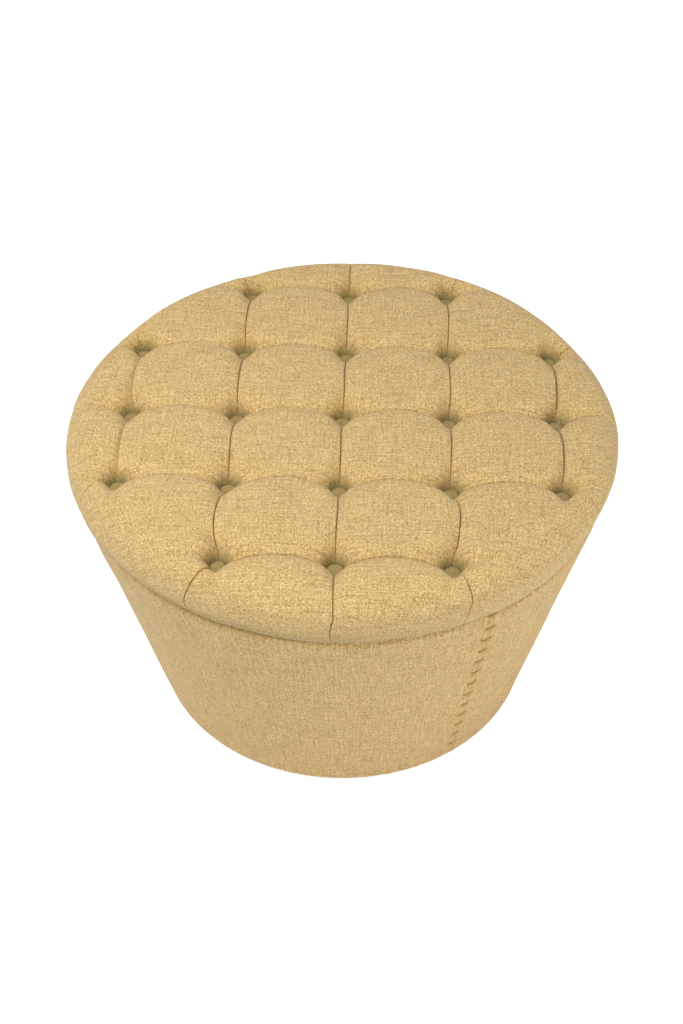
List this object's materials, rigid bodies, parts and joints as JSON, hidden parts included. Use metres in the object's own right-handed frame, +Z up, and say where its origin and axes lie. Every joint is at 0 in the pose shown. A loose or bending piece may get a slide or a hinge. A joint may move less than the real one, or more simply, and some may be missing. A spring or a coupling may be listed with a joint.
{
  "type": "tuffet",
  "caption": "Round button-tufted footstool: a biscuit-tufted fabric lid on a padded drum that tapers to the floor, with a hand-sewn closing seam.",
  "frame": {"origin": "on the floor, on the axis of the drum", "axes": "+Z up along the drum's axis; the rows of buttons run along X and Y; the closing seam is at the front right, between -Y and +X"},
  "size_m": [0.7036, 0.7036, 0.437],
  "materials": {
    "linen": "matte linen-look weave, camel",
    "batting": "white polyester batting",
    "foam": "open-cell upholstery foam, cream",
    "plywood": "sanded plywood",
    "pine": "planed softwood",
    "fibreboard": "thin hard fibreboard",
    "twine": "waxed tufting twine",
    "dust_cloth": "black spunbonded cloth",
    "nylon": "moulded nylon"
  },
  "bodies": {
    "root": {"top_cover": "linen", "side_cover": "linen", "top_batting": "batting", "side_wrap": "batting", "foam_pad": "foam", "deck_board": "plywood", "top_ring": "plywood", "base_ring": "plywood", "wall_panel": "fibreboard", "dust_cover": "dust_cloth", "button_01": "linen", "button_02": "linen", "button_03": "linen", "button_04": "linen", "button_05": "linen", "button_06": "linen", "button_07": "linen", "button_08": "linen", "button_09": "linen", "button_10": "linen", "button_11": "linen", "button_12": "linen", "button_13": "linen", "button_14": "linen", "button_15": "linen", "button_16": "linen", "button_17": "linen", "button_18": "linen", "button_19": "linen", "button_20": "linen", "button_21": "linen", "tuft_tie_01": "twine", "tuft_tie_02": "twine", "tuft_tie_03": "twine", "tuft_tie_04": "twine", "tuft_tie_05": "twine", "tuft_tie_06": "twine", "tuft_tie_07": "twine", "tuft_tie_08": "twine", "tuft_tie_09": "twine", "tuft_tie_10": "twine", "tuft_tie_11": "twine", "tuft_tie_12": "twine", "tuft_tie_13": "twine", "tuft_tie_14": "twine", "tuft_tie_15": "twine", "tuft_tie_16": "twine", "tuft_tie_17": "twine", "tuft_tie_18": "twine", "tuft_tie_19": "twine", "tuft_tie_20": "twine", "tuft_tie_21": "twine", "strut_1": "pine", "strut_2": "pine", "strut_3": "pine", "strut_4": "pine", "glide_1": "nylon", "glide_2": "nylon", "glide_3": "nylon", "glide_4": "nylon"}
  },
  "joints": []
}
